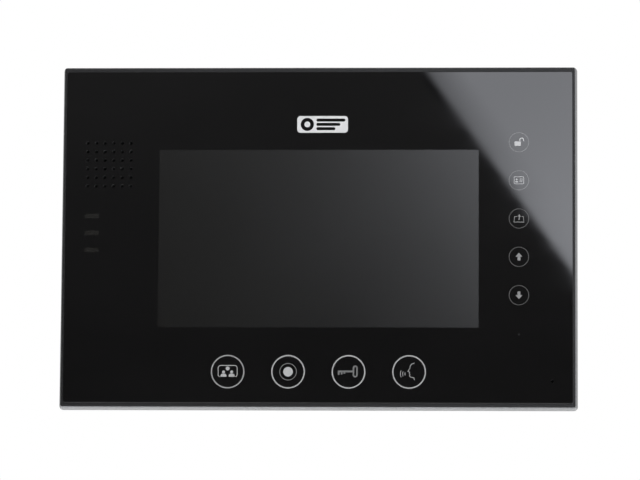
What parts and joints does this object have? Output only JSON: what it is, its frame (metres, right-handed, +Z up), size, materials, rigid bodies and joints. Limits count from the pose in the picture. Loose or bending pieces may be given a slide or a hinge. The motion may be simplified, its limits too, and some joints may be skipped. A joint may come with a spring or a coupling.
{
  "type": "video intercom monitor",
  "caption": "Slim video intercom monitor: flat black touch front with a wide screen and ring-marked keys, silver trim, rear cover with thumbwheels, hooked on a sheet-metal wall bracket.",
  "frame": {"origin": "centre of the wall bracket's back face, on the wall plane, level with the middle of the silver trim", "axes": "+Z up, +X to the viewer's right, and -Y out of the wall towards the viewer, so the screen faces -Y and +Y points into the wall"},
  "size_m": [0.25, 0.024, 0.1674],
  "materials": {
    "black_plastic": "gloss black",
    "black_print": "black ink",
    "can": "satin",
    "chip": "moulded",
    "circuit_board": "green solder mask",
    "clear_panel": "clear, polished",
    "cloth": "woven",
    "cone_paper": "coated",
    "cover_plastic": "fine spark texture",
    "foam": "foam",
    "header_plastic": "ivory",
    "label": "silver film",
    "lead_grey": "insulated wire",
    "lead_red": "insulated wire",
    "lead_white": "insulated wire",
    "lens": "smoke",
    "magnet": "ferrite",
    "pot_body": "laminate",
    "ribbon": "amber film",
    "rubber": "matte",
    "screen": "dark, low gloss",
    "screw_steel": "zinc-plated",
    "silver_trim": "satin silver paint",
    "spring_brass": "plated",
    "steel_sheet": "zinc-plated sheet",
    "wheel_plastic": "fluted",
    "white_plastic": "satin",
    "white_print": "white ink"
  },
  "bodies": {
    "wall_bracket": {"bracket_plate": "steel_sheet"},
    "monitor": {"front_panel": "clear_panel", "key_legends": "white_print", "badge": "white_print", "back_print": "black_print", "panel_tape": "foam", "front_frame": "black_plastic", "silver_trim": "silver_trim", "lcd_frame": "steel_sheet", "lcd_cell": "screen", "lcd_backlight": "white_plastic", "lcd_gasket": "foam", "lcd_ribbon": "ribbon", "lcd_retainers": "steel_sheet", "retainer_screws": "screw_steel", "bottom_key_board": "circuit_board", "side_key_board": "circuit_board", "key_light_cups": "white_plastic", "touch_springs": "spring_brass", "key_leds": "white_plastic", "key_board_screws": "screw_steel", "status_light_pipe": "white_plastic", "indicator_lenses": "lens", "indicator_board": "circuit_board", "indicator_leds": "white_plastic", "speaker_dust_cloth": "cloth", "speaker_gasket": "foam", "speaker_basket": "steel_sheet", "speaker_cone": "cone_paper", "speaker_magnet": "magnet", "speaker_screws": "screw_steel", "microphone_boot": "rubber", "microphone_felt": "cloth", "microphone": "can", "main_board": "circuit_board", "main_board_chips": "chip", "capacitors": "can", "power_inductors": "magnet", "lock_relay": "white_plastic", "wire_headers": "header_plastic", "header_pins": "spring_brass", "ribbon_connector": "header_plastic", "main_board_screws": "screw_steel", "control_board": "circuit_board", "adjuster_pots": "pot_body", "control_board_screws": "screw_steel", "power_switch_body": "can", "rear_cover": "cover_plastic", "case_screws": "screw_steel", "wall_pads": "rubber", "rating_label": "label", "speaker_lead": "lead_red", "microphone_lead": "lead_grey", "key_lead": "lead_white"},
    "volume_wheel": {"volume_wheel": "wheel_plastic"},
    "brightness_wheel": {"brightness_wheel": "wheel_plastic"},
    "colour_wheel": {"colour_wheel": "wheel_plastic"},
    "power_switch": {"power_switch_knob": "wheel_plastic"}
  },
  "joints": [
    {"name": "monitor_lift", "type": "slide", "parent": "wall_bracket", "child": "monitor", "axis": [0, 0, 1], "range_m": [0, 0.007]},
    {"name": "volume_turn", "type": "hinge", "parent": "monitor", "child": "volume_wheel", "pos_m": [0.1148, -0.008, 0.031], "axis": [0, 1, 0], "range_deg": [-135, 135]},
    {"name": "brightness_turn", "type": "hinge", "parent": "monitor", "child": "brightness_wheel", "pos_m": [0.1148, -0.008, 0.009], "axis": [0, 1, 0], "range_deg": [-135, 135]},
    {"name": "colour_turn", "type": "hinge", "parent": "monitor", "child": "colour_wheel", "pos_m": [0.1148, -0.008, -0.013], "axis": [0, 1, 0], "range_deg": [-135, 135]},
    {"name": "power_slide", "type": "slide", "parent": "monitor", "child": "power_switch", "axis": [0, 0, 1], "range_m": [0, 0.0024]}
  ]
}
